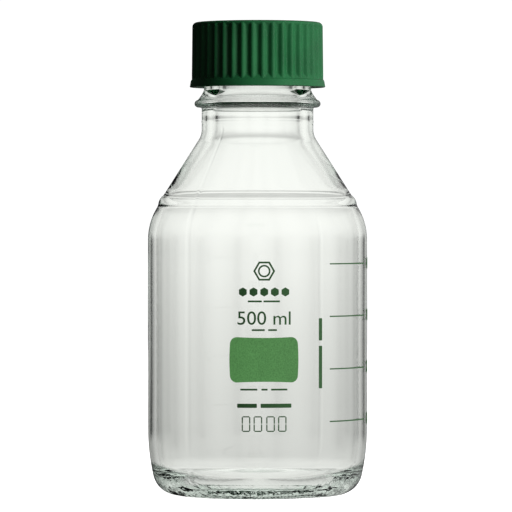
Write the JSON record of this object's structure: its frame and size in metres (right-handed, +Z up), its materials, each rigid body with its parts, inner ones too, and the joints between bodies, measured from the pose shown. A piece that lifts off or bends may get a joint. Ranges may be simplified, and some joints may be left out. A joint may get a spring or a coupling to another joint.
{
  "type": "reagent bottle",
  "caption": "Round clear glass laboratory bottle with a screw neck, pouring ring, ribbed screw cap with seal, writing field and graduation.",
  "frame": {"origin": "centre of the bearing ring that the bottle stands on", "axes": "+Z up along the bottle's axis; the writing field and the printed column face -Y; the graduation is towards +X"},
  "size_m": [0.0861, 0.0861, 0.1852],
  "materials": {
    "clear_glass": "clear polished glass with a faint grey-green tint",
    "green_plastic": "satin moulded polypropylene",
    "silicone": "matt translucent silicone",
    "seal_face_plastic": "smooth white fluoropolymer facing",
    "green_enamel": "fired opaque enamel, slightly glossy"
  },
  "bodies": {
    "bottle": {"glass_bottle": "clear_glass", "pouring_ring": "green_plastic", "writing_field": "green_enamel", "capacity_mark": "green_enamel", "emblem": "green_enamel", "emblem_row": "green_enamel", "caption_dashes": "green_enamel", "code_mark": "green_enamel", "graduation_lines": "green_enamel", "graduation_numerals": "green_enamel", "volume_legend": "green_enamel"},
    "seal": {"seal_disc": "silicone", "seal_facing": "seal_face_plastic"},
    "cap": {"screw_cap": "green_plastic"}
  },
  "joints": [
    {"name": "cap_lift", "type": "slide", "parent": "bottle", "child": "seal", "axis": [0, 0, 1], "range_m": [0, 0.028]},
    {"name": "cap_turn", "type": "hinge", "parent": "seal", "child": "cap", "pos_m": [0, 0, 0.179], "axis": [0, 0, 1], "range_deg": [0, 2520]}
  ],
  "couplings": [
    {"joint": "cap_lift", "follows": "cap_turn", "m_per_rad": 0.00063662}
  ]
}
